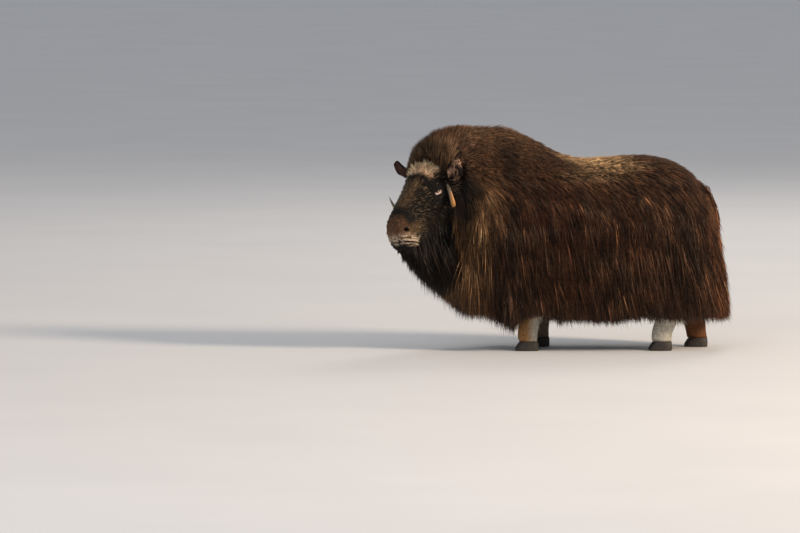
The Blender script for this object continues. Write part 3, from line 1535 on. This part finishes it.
# A piece of the long coat: where it starts and ends along the body, and its side, with the left at -1.
LONG_PIECES = (
    ("mane_left", (FRONT, -0.42), -1),
    ("mane_right", (FRONT, -0.42), 1),
    ("shoulder_left", (-0.42, -0.10), -1),
    ("shoulder_right", (-0.42, -0.10), 1),
    ("flank_left", (-0.10, 0.35), -1),
    ("flank_right", (-0.10, 0.35), 1),
    ("rump_left", (0.35, REAR), -1),
    ("rump_right", (0.35, REAR), 1),
)


def centre_line(x):
    """Where the bent body's middle lies, by x."""
    ahead = np.maximum(BEND_X - x, 0.0)
    return -ahead * np.tan(BEND_ANGLE * np.minimum(ahead / BEND_LENGTH, 1.3) / 2)


def lock_colours(roots, calm, size, draw):
    """Markings with the tone of each lock and tuft, and light ones among them. The hair on top is calmer."""
    count = len(roots)
    index, _ = clumps(roots, size)
    tone = draw.normal(-0.10, 0.62, index.max() + 1)[index] * (1 - 0.55 * calm)
    tone += draw.normal(0.0, 0.42, count)
    light = (draw.random(index.max() + 1) < 0.16)[index] | (draw.random(count) < 0.08)
    colours = markings(roots) * np.exp(tone)[:, None]
    lighter = blend(colours * 1.45 + colour_of(LIGHT_LOCK) * 0.28, colours, 0.7 * calm)
    return np.where(light[:, None], lighter, colours)


class MUSKOX_OT_long_coat(bpy.types.Operator):
    """Grows the long hair of mane, flanks, rump and skirt"""

    bl_idname = "muskox.long_coat"
    bl_label = "Long coat"

    def execute(self, context):
        settings = context.scene.muskox_coat
        size = settings.clump_size
        skin = SKIN["skin"]
        SKIN["hair"] = guard_hair()
        x, y, _ = skin.middles.T
        below = ease(-skin.normals[:, 2], 0.55, 0.85)
        for i, (name, (low, high), side) in enumerate(LONG_PIECES):
            draw = np.random.default_rng(settings.seed + i)
            count = settings.mane_tufts if name.startswith("mane") else settings.flank_tufts
            here = (skin.kind == LONG) & (x >= low) & (x < high) & ((y - centre_line(x)) * side > 0)
            roots, normals = skin.scatter(here * (1.0 - 0.85 * below), count, draw)
            length, depth = long_sizes(roots, draw)
            calm = ease(roots[:, 2], 0.90, 1.06)
            hold = 0.70 - 0.40 * calm
            path, outs = grow(skin.body, roots, normals, length, depth, lie_long, draw, size, hold)
            colours = lock_colours(roots, calm, size, draw)
            ends = np.stack((np.full(count, 0.35), draw.uniform(0.8, 1.8, count)), axis=1)
            width = settings.strand_width * draw.uniform(0.6, 1.4, count)
            width = width * (0.80 + 0.5 * np.clip(length / LONG_HAIR, 0, 1))
            plant("coat_" + name, LONG, roots, path, outs, width, colours, ends, 0.016, draw)
        return {"FINISHED"}


def coat_piece(
    name, area, weight, count, seed, shape, lie,
    field="body", clump=0.0, width=0.004, spread=0.3, root_tone=0.6, tip_tone=1.4, tone=None, loose=0.02,
):
    """Grows one piece of the coat. shape gives the tufts' lengths and depths, and tone their colours."""
    skin = SKIN["skin"]
    draw = np.random.default_rng(seed)
    roots, normals = skin.scatter(weight * 1.0, count, draw)
    length, depth = shape(roots, draw)
    path, outs = grow(getattr(skin, field), roots, normals, length, depth, lie, draw, clump)
    colours = markings(roots)
    if tone is not None:
        colours = tone(roots, colours)
    colours = colours * np.exp(draw.normal(0.0, spread, count))[:, None]
    ends = np.stack((np.full(count, root_tone), draw.uniform(0.9, tip_tone, count)), axis=1)
    widths = width * draw.uniform(0.6, 1.4, count) * (0.8 + 0.4 * np.clip(length / LONG_HAIR, 0, 1))
    plant(name, area, roots, path, outs, widths, colours, ends, loose, draw)


# Sizes and tones of the head's hair.


def over_horn(local):
    """1 where the fur of the forehead covers the root of a horn."""
    mirror = local * np.stack((np.ones(len(local)), np.sign(local[:, 1]), np.ones(len(local))), axis=1)
    horn = np.array(smooth_rows(HORN_PATH[:4], 8))
    away = np.linalg.norm(mirror[:, None] - horn[None], axis=2).min(axis=1)
    return ease(-away, -0.070, -0.045)


def face_sizes(roots, draw):
    """Short on nose and lips and round the eyes, longer up the forehead, and longest on the cheeks."""
    local = in_head(roots)
    f, _, up = local.T
    patch = ease(-f, -0.01, 0.02) * ease(up, 0.06, 0.10)
    cheek = ease(-up, 0.03, 0.15) * ease(-f, -0.22, -0.08)
    upper = ease(-f, -0.24, -0.12)
    length = 0.011 + 0.016 * upper + 0.045 * cheek
    length += 0.020 * ease(-f, 0.09, 0.12)
    length *= 1 - 0.45 * ease(-mouth_gap(local), -0.030, -0.010)
    length *= 1 - 0.45 * ease(f, 0.255, 0.295)
    length *= 1 - 0.70 * ease(-eye_gap(local), -0.074, -0.046)
    cover = over_horn(local)
    length = length * (1 - 0.35 * patch) + 0.022 * cover * (1 - 0.6 * patch)
    depth = 0.003 + 0.006 * upper + 0.006 * patch + 0.010 * cheek
    depth = depth + 0.018 * cover
    return length * draw.uniform(0.7, 1.35, len(f)), depth * draw.uniform(0.3, 1.3, len(f))


def face_tone(roots, colours, seed):
    """Some tufts below the forehead are tan streaks, fewest round the eyes."""
    local = in_head(roots)
    f, _, up = local.T
    draw = np.random.default_rng(seed)
    share = 0.22 + 0.05 * ease(-up, 0.06, 0.14) - 0.20 * ease(-eye_gap(local), -0.095, -0.065)
    streak = (draw.random(len(f)) < share * ease(-f, -0.25, -0.19)) & (up < 0.09)
    patch = ease(-np.abs(f + 0.040), -0.052, -0.036) * ease(up, 0.05, 0.10)
    streaked = blend(colours, colour_of(FACE_STREAK), 0.65)
    return np.where(streak[:, None], streaked, colours * (0.80 + 0.30 * patch)[:, None])


def beard_sizes(roots, draw):
    """Hair of the jaw that hangs to the coat's outline, short at the chin."""
    f = in_head(roots)[:, 0]
    reach = roots[:, 2] - level_at(HEM_LINE, roots[:, 0])
    length = np.maximum(np.minimum(reach * draw.uniform(0.80, 1.15, len(reach)), 0.40), 0.05)
    length *= 1 - 0.72 * ease(f, 0.235, 0.285)
    return length, draw.uniform(0.004, 0.05, len(reach)) * (1 - 0.7 * ease(f, 0.18, 0.25))


def beard_tone(roots, colours):
    return blend(colours, colour_of(BEARD_DARK), 0.92)


def poll_sizes(roots, draw):
    return 0.150 * draw.uniform(0.7, 1.2, len(roots)), draw.uniform(0.004, 0.03, len(roots))


def poll_tone(roots, colours):
    return blend(colour_of(POLL_DARK), colour_of(POLL_TAN), 0.55)


def cheek_sizes(roots, draw):
    f = in_head(roots)[:, 0]
    length = 0.055 + 0.065 * ease(-f, -0.12, 0.04)
    return length * draw.uniform(0.7, 1.3, len(f)), draw.uniform(0.004, 0.022, len(f))


def cheek_tone(roots, colours):
    """Nearly black before the eye and browner towards the neck."""
    f = in_head(roots)[:, 0]
    dark = blend(colours, colour_of(CHEEK_DARK), 0.85)
    return blend(dark, colour_of(CHEEK_TAN), 0.7 * ease(-f, -0.02, 0.08))


class MUSKOX_OT_face_coat(bpy.types.Operator):
    """Grows the short hair of the face, the longer hair of the cheeks and poll, and the beard"""

    bl_idname = "muskox.face_coat"
    bl_label = "Face coat"

    def execute(self, context):
        settings = context.scene.muskox_coat
        seed = settings.seed
        skin = SKIN["skin"]
        local = in_head(skin.middles)
        f, left, up = local.T
        side = np.abs(left)
        eye = eye_gap(local)
        on_face = skin.kind == FACE
        off_lips = mouth_gap(local) >= 0.0075
        nose_pad = (f > 0.300) & (side < 0.026) & (up > -0.160) & (up < -0.085)
        nostrils = gap_to(local, NOSTRIL_AT) < 0.021
        haired = on_face & (eye > 0.028 + 0.010 * (up < 0.004)) & ~nose_pad & ~nostrils & off_lips
        coat_piece(
            "coat_face", FACE, haired * (1.0 + 1.2 * ease(f, 0.10, 0.20)), settings.face_tufts,
            seed + 20, face_sizes, lie_face, "head", clump=0.012, width=0.0034, spread=0.42, tip_tone=1.7,
            tone=lambda roots, colours: face_tone(roots, colours, seed + 40),
        )
        jaw = on_face & (up < -0.130) & (f < 0.255) & (f > -0.14) & off_lips
        under = on_face & (up < -0.220) & (f <= 0.300)
        coat_piece(
            "coat_beard", FACE, jaw * 0.6 * ease(-f, -0.22, -0.14) + under * 1.0,
            settings.beard_tufts, seed + 21, beard_sizes, lie_beard, clump=0.035, width=0.0062, spread=0.5,
            tip_tone=1.6, tone=beard_tone, loose=0.012,
        )
        crown = (on_face | (skin.kind == LONG)) & (f < -0.082) & (f > -0.17) & (up > 0.045)
        coat_piece(
            "coat_poll", FACE, crown & (head_room(local) < 0.03), POLL_TUFTS, seed + 23, poll_sizes,
            lie_poll, "head", clump=0.028, width=0.0052, spread=0.5, root_tone=0.5, tip_tone=2.2,
            tone=poll_tone, loose=0.012,
        )
        cheek = on_face & (f < 0.16) & (f > -0.14) & (up < 0.02) & (up > -0.19) & (side > 0.055)
        cheek &= (eye > 0.060) & ((up < -0.075) | (f < -0.045))
        coat_piece(
            "coat_cheeks", FACE, cheek, CHEEK_TUFTS, seed + 22, cheek_sizes, lie_face, "head",
            clump=0.02, width=0.0042, spread=0.55, tip_tone=1.9, tone=cheek_tone,
        )
        return {"FINISHED"}


# Sizes and tones of the short hair.


def leg_sizes(roots, draw, fluffy):
    """Short down to the hoof, and fluffy above the hind foot."""
    fluff = fluffy * ease(roots[:, 2], 0.06, 0.14)
    length = (0.055 + 0.040 * fluff) * draw.uniform(0.6, 1.3, len(roots))
    length = np.minimum(length, np.maximum(roots[:, 2] - 0.036, 0.006))
    return length, (0.026 + 0.030 * fluff) * draw.uniform(0.2, 1.2, len(roots))


def ear_sizes(roots, draw):
    return 0.026 * draw.uniform(0.5, 1.6, len(roots)), 0.014 * draw.uniform(0.1, 1.2, len(roots))


def ear_tone(roots, colours, seed):
    """Nearly half of the small locks are dark."""
    index, _ = clumps(roots, 0.009)
    shaded = np.random.default_rng(seed).random(index.max() + 1)[index] < 0.45
    return np.where(shaded[:, None], colour_of(EAR_SHADE), colours)


def tail_sizes(roots, draw):
    return 0.075 * draw.uniform(0.6, 1.2, len(roots)), 0.014 * draw.uniform(0.2, 1.0, len(roots))


def belly_sizes(roots, draw):
    room = np.maximum(roots[:, 2] - HEM - 0.02, 0.02)
    length = np.minimum(0.11 * draw.uniform(0.6, 1.3, len(roots)), room)
    return length, 0.02 * draw.uniform(0.2, 1.0, len(roots))


def belly_tone(roots, colours):
    return blend(colours, colour_of(BELLY_DARK), 0.6)


class MUSKOX_OT_short_coat(bpy.types.Operator):
    """Grows the short hair of legs, ears and tail, and the wool under the belly"""

    bl_idname = "muskox.short_coat"
    bl_label = "Legs, ears, tail and belly"

    def execute(self, context):
        settings = context.scene.muskox_coat
        seed = settings.seed
        skin = SKIN["skin"]
        front = skin.middles[:, 0] < 0.2
        on_leg = skin.kind == LEG
        for name, area_slot, legs, salt, fluffy in (
            ("coat_forelegs", "foreleg_fur", on_leg & front, 30, 0),
            ("coat_hindlegs", "hindleg_fur", on_leg & ~front, 31, 1),
        ):
            coat_piece(
                name, LEG, legs, settings.leg_tufts, seed + salt,
                lambda roots, draw: leg_sizes(roots, draw, fluffy), lie_down,
                clump=0.018, width=0.0046, spread=0.15, root_tone=0.85, tip_tone=1.15,
            )
        coat_piece(
            "coat_ears", EAR, skin.kind == EAR, settings.ear_tufts, seed + 33, ear_sizes, lie_ear,
            "head", clump=0.010, width=0.0042, spread=0.25, root_tone=0.8,
            tone=lambda roots, colours: ear_tone(roots, colours, seed + 41),
        )
        coat_piece(
            "coat_tail", TAIL, skin.kind == TAIL, TAIL_TUFTS, seed + 34, tail_sizes, lie_down,
            clump=0.02, width=0.006,
        )
        coat_piece(
            "coat_belly", INSIDE, skin.kind == INSIDE, BELLY_TUFTS, seed + 35, belly_sizes, lie_down,
            clump=0.03, width=0.014, tone=belly_tone,
        )
        return {"FINISHED"}


EYE_PLAY = 0.0002
CORNEA_RISE = 0.0011
CORNEA_EDGE = 0.62


def shape_eye(eye, at, side):
    """Bulges the cornea where the eye looks, and notes each point's distance from the gaze and the pupil."""
    turn = HEAD.to_3x3()
    gaze = (turn @ Vector((0.42, side, -0.16))).normalized()
    forward = turn @ Vector((1.0, 0.0, 0.0))
    level = (forward - gaze * gaze.dot(forward)).normalized()
    upright = level.cross(gaze) * side
    from_gaze, from_pupil = [], []
    for vert in eye.data.vertices:
        out = (vert.co - at).normalized()
        angle = math.acos(max(-1.0, min(1.0, out.dot(gaze))))
        vert.co += out * (CORNEA_RISE * max(0.0, 1 - (angle / CORNEA_EDGE) ** 2))
        from_gaze.append(max(angle / 1.3, 0.56 - 1.1 * (out.dot(upright) + 0.03)))
        from_pupil.append(math.hypot(out.dot(level) / 0.30, out.dot(upright) / 0.12) if angle < 1.2 else 9.0)
    for name, values in (("gaze", from_gaze), ("pupil", from_pupil)):
        eye.data.attributes.new(name, "FLOAT", "POINT").data.foreach_set("value", values)


class MUSKOX_OT_eyes(bpy.types.Operator):
    """Shapes the eyeballs in their sockets"""

    bl_idname = "muskox.eyes"
    bl_label = "Eyes"

    def execute(self, context):
        glass = eye_glass()
        for label, side in (("left", 1), ("right", -1)):
            at = HEAD @ Vector((EYE_AT.x, EYE_AT.y * side, EYE_AT.z)) + SHIFT
            bpy.ops.object.select_all(action="DESELECT")
            ball = EYE_RADIUS - EYE_PLAY
            bpy.ops.mesh.primitive_uv_sphere_add(segments=48, ring_count=32, radius=ball, location=at)
            eye = context.active_object
            eye.name = "eyeball_" + label
            bpy.ops.object.transform_apply(location=True, rotation=True, scale=True)
            shape_eye(eye, at, side)
            bpy.ops.object.shade_smooth()
            eye.data.materials.append(glass)
            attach(eye, "root")
            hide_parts("eye_" + label)
        return {"FINISHED"}


# Shares of the plan's radii at the horn's root, a third and two thirds of the way, and at its tip.
HORN_SLIM = (0.60, 0.50, 0.62, 0.72)
# How far each horn turns tan towards its tip, on the left (1) and on the right (-1), which is darker.
HORN_TONE = {1: 1.0, -1: 0.42}


class MUSKOX_OT_horns(bpy.types.Operator):
    """Builds the two hooked horns"""

    bl_idname = "muskox.horns"
    bl_label = "Horns"

    def execute(self, context):
        colours = context.scene.muskox_colours
        material = horn_keratin(tuple(colours.horn_tip), tuple(colours.horn_base))
        steps = 72
        around = 28
        for label, side in (("left", 1), ("right", -1)):
            path = [Vector((p[0], p[1] * side, p[2])) for p in smooth_rows(HORN_PATH, steps)]
            radii = [r[0] for r in smooth_rows([(r,) for r in HORN_RADII], steps)]
            ripple = [1 + 0.012 * math.sin(i * 2.2) * (1 - i / steps) for i in range(steps + 1)]
            slim = np.interp(np.arange(steps + 1), (0, steps * 0.30, steps * 0.62, steps), HORN_SLIM)
            thick = [r * k * t for r, k, t in zip(radii, ripple, slim)]
            horn = tube("horncase_" + label, path, thick, around)
            along = horn.data.attributes.new("along", "FLOAT", "POINT")
            tone = HORN_TONE[side]
            values = [tone * i / steps for i in range(steps + 1) for _ in range(around)] + [0.0, tone]
            along.data.foreach_set("value", values)
            carried(horn, Matrix.Translation(SHIFT) @ HEAD)
            smooth_shaded(horn)
            horn.data.materials.append(material)
            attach(horn, "root")
            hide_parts("horn_" + label)
        return {"FINISHED"}


class MUSKOX_OT_hooves(bpy.types.Operator):
    """Builds the two hooves of each foot"""

    bl_idname = "muskox.hooves"
    bl_label = "Hooves"

    def execute(self, context):
        material = hoof_keratin()
        for leg, (foot, _) in FEET.items():
            for label, side in (("inner", 1), ("outer", -1)):
                outward = side if foot[1] < 0 else -side
                rings = []
                for z, long, wide, shift in smooth_rows(TOE_RINGS, 14):
                    ring = []
                    for k in range(36):
                        a = math.tau * k / 36
                        along = -math.cos(a) * HOOF_LENGTH / 2 * long + shift
                        out = TOE_SPLIT / 2 + TOE_WIDTH * wide * (0.5 + 0.5 * power(math.sin(a), 0.7))
                        x = foot[0] + along - HOOF_AHEAD
                        ring.append(Vector((x, foot[1] + out * outward, z)) + SHIFT)
                    rings.append(ring)
                hoof = loft(f"toe_{leg}_{label}", rings)
                edge = {"limit_method": "ANGLE", "angle_limit": math.radians(50)}
                with_modifier(hoof, "BEVEL", width=0.004, segments=2, **edge)
                smooth_shaded(hoof)
                hoof.data.materials.append(material)
                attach(hoof, "root")
                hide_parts(f"hoof_{leg}_{label}")
        return {"FINISHED"}


class MUSKOX_OT_stage(bpy.types.Operator):
    """Sets the floor, the soft lights and the camera"""

    bl_idname = "muskox.stage"
    bl_label = "Stage"

    def execute(self, context):
        settings = context.scene.muskox_stage
        bpy.ops.object.select_all(action="DESELECT")
        bpy.ops.mesh.primitive_plane_add(size=400.0, location=(0.0, 0.0, -0.0004))
        floor = context.active_object
        floor.name = "floor"
        bpy.ops.object.transform_apply(location=True, rotation=True, scale=True)
        floor.data.materials.append(studio_paper())

        elevation = settings.camera_height
        back = Vector((0.0, -math.cos(elevation), math.sin(elevation)))
        middle = Vector(
            (
                (PHOTO_SIZE[0] / 2 - PHOTO_ORIGIN[0]) / PHOTO_SCALE,
                0.0,
                (PHOTO_ORIGIN[1] - PHOTO_SIZE[1] / 2) / PHOTO_SCALE / math.cos(elevation),
            )
        )
        bpy.ops.object.camera_add(location=middle + SHIFT + back * settings.camera_distance)
        camera = context.active_object
        camera.rotation_euler = back.to_track_quat("Z", "Y").to_euler()
        camera.data.sensor_width = 36.0
        camera.data.lens = 36.0 * settings.camera_distance * PHOTO_SCALE / PHOTO_SIZE[0]
        camera.data.clip_end = 500.0
        context.scene.camera = camera

        # Each lamp has its place, its size in metres, its power in watts and its colour.
        for name, place, size, energy, colour in (
            ("key", (14.0, -7.5, 8.0), 4.5, settings.key_power, "#ffe6c8"),
            ("front", (-6.0, -14.0, 8.0), 8.0, 420.0, "#f4f4f4"),
            ("rear", (4.0, 12.0, 10.0), 6.0, 480.0, "#fff4e4"),
        ):
            bpy.ops.object.light_add(type="AREA", location=place)
            lamp = context.active_object
            lamp.name = name
            lamp.data.shape = "DISK"
            lamp.data.size = size
            lamp.data.energy = energy
            lamp.data.color = linear(colour)
            aim = Vector((0.0, 0.0, 0.6)) - Vector(place)
            lamp.rotation_euler = aim.to_track_quat("-Z", "Y").to_euler()
        world = bpy.data.worlds.new("studio")
        world.use_nodes = True
        world.node_tree.nodes["Background"].inputs[0].default_value = (*linear("#e2e4e8"), 1.0)
        world.node_tree.nodes["Background"].inputs[1].default_value = 0.52
        context.scene.world = world
        context.scene.view_settings.view_transform = "Standard"
        return {"FINISHED"}


class MUSKOX_PT_panel(bpy.types.Panel):
    """Lists the steps that dress the muskox"""

    bl_idname = "MUSKOX_PT_panel"
    bl_label = "Muskox"
    bl_space_type = "VIEW_3D"
    bl_region_type = "UI"
    bl_category = "Muskox"

    def draw(self, context):
        layout = self.layout
        for group in ("muskox_coat", "muskox_colours", "muskox_stage"):
            settings = getattr(context.scene, group)
            for key in settings.__annotations__:
                layout.prop(settings, key)
        for step in STEPS:
            layout.operator(step.bl_idname)


STEPS = (
    MUSKOX_OT_skin,
    MUSKOX_OT_long_coat,
    MUSKOX_OT_face_coat,
    MUSKOX_OT_short_coat,
    MUSKOX_OT_eyes,
    MUSKOX_OT_horns,
    MUSKOX_OT_hooves,
    MUSKOX_OT_stage,
)
GROUPS = {
    "muskox_coat": MuskoxCoatSettings,
    "muskox_colours": MuskoxColourSettings,
    "muskox_stage": MuskoxStageSettings,
}


def register():
    for group in GROUPS.values():
        bpy.utils.register_class(group)
    for key, group in GROUPS.items():
        setattr(bpy.types.Scene, key, bpy.props.PointerProperty(type=group))
    for step in STEPS:
        bpy.utils.register_class(step)
    bpy.utils.register_class(MUSKOX_PT_panel)


def unregister():
    bpy.utils.unregister_class(MUSKOX_PT_panel)
    for step in reversed(STEPS):
        bpy.utils.unregister_class(step)
    for key, group in GROUPS.items():
        delattr(bpy.types.Scene, key)
        bpy.utils.unregister_class(group)


def main():
    register()
    bpy.ops.muskox.skin()
    bpy.ops.muskox.long_coat()
    bpy.ops.muskox.face_coat()
    bpy.ops.muskox.short_coat()
    bpy.ops.muskox.eyes()
    bpy.ops.muskox.horns()
    bpy.ops.muskox.hooves()
    bpy.ops.muskox.stage()


if __name__ == "__main__":
    main()
